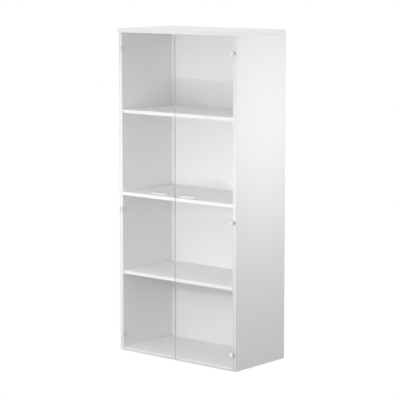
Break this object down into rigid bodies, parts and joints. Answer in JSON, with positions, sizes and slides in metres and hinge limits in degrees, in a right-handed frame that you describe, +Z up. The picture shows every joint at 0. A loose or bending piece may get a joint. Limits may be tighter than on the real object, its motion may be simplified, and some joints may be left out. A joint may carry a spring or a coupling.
{
  "type": "glass door bookcase",
  "caption": "Tall white bookcase with open tiers behind a pair of frameless clear glass doors on cranked hinges, each with a bow handle",
  "frame": {"origin": "on the floor, at the centre of the top board's plan, on the underside of the bottom board", "axes": "+Z up, -Y out through the glass doors, +X to the right as seen by a person facing the doors"},
  "size_m": [0.8, 0.4458, 1.74],
  "materials": {
    "white_board": "white melamine-faced board, satin, with edge banding",
    "back_board": "white lacquered hardboard, matt",
    "clear_glass": "clear toughened glass with ground edges",
    "bright_metal": "bright chrome plate",
    "satin_metal": "satin nickel plate",
    "zinc": "zinc plate",
    "clear_plastic": "clear soft plastic"
  },
  "bodies": {
    "carcass": {"back_panel": "back_board", "bottom_panel": "white_board", "door_bumper_left": "clear_plastic", "door_bumper_right": "clear_plastic", "hinge_base_left_lower": "satin_metal", "hinge_base_left_middle": "satin_metal", "hinge_base_left_upper": "satin_metal", "hinge_base_right_lower": "satin_metal", "hinge_base_right_middle": "satin_metal", "hinge_base_right_upper": "satin_metal", "hinge_pin_left_lower": "satin_metal", "hinge_pin_left_middle": "satin_metal", "hinge_pin_left_upper": "satin_metal", "hinge_pin_right_lower": "satin_metal", "hinge_pin_right_middle": "satin_metal", "hinge_pin_right_upper": "satin_metal", "shelf_lower": "white_board", "shelf_lower_pin_left_front": "zinc", "shelf_lower_pin_left_rear": "zinc", "shelf_lower_pin_right_front": "zinc", "shelf_lower_pin_right_rear": "zinc", "shelf_middle": "white_board", "shelf_middle_pin_left_front": "zinc", "shelf_middle_pin_left_rear": "zinc", "shelf_middle_pin_right_front": "zinc", "shelf_middle_pin_right_rear": "zinc", "shelf_upper": "white_board", "shelf_upper_pin_left_front": "zinc", "shelf_upper_pin_left_rear": "zinc", "shelf_upper_pin_right_front": "zinc", "shelf_upper_pin_right_rear": "zinc", "side_panel_left": "white_board", "side_panel_right": "white_board", "top_panel": "white_board"},
    "left_door": {"glass_door_left": "clear_glass", "handle_left": "bright_metal", "handle_screw_left_inner": "zinc", "handle_screw_left_outer": "zinc", "hinge_cap_left_lower": "bright_metal", "hinge_cap_left_middle": "bright_metal", "hinge_cap_left_upper": "bright_metal", "hinge_leaf_left_lower": "satin_metal", "hinge_leaf_left_middle": "satin_metal", "hinge_leaf_left_upper": "satin_metal", "hinge_nut_left_lower": "zinc", "hinge_nut_left_middle": "zinc", "hinge_nut_left_upper": "zinc"},
    "right_door": {"glass_door_right": "clear_glass", "handle_right": "bright_metal", "handle_screw_right_inner": "zinc", "handle_screw_right_outer": "zinc", "hinge_cap_right_lower": "bright_metal", "hinge_cap_right_middle": "bright_metal", "hinge_cap_right_upper": "bright_metal", "hinge_leaf_right_lower": "satin_metal", "hinge_leaf_right_middle": "satin_metal", "hinge_leaf_right_upper": "satin_metal", "hinge_nut_right_lower": "zinc", "hinge_nut_right_middle": "zinc", "hinge_nut_right_upper": "zinc"}
  },
  "joints": [
    {"name": "left_door_swing", "type": "hinge", "parent": "carcass", "child": "left_door", "pos_m": [-0.3968, -0.1985, 0], "axis": [0, 0, -1], "range_deg": [0, 100]},
    {"name": "right_door_swing", "type": "hinge", "parent": "carcass", "child": "right_door", "pos_m": [0.3968, -0.1985, 0], "axis": [0, 0, 1], "range_deg": [0, 100]}
  ]
}
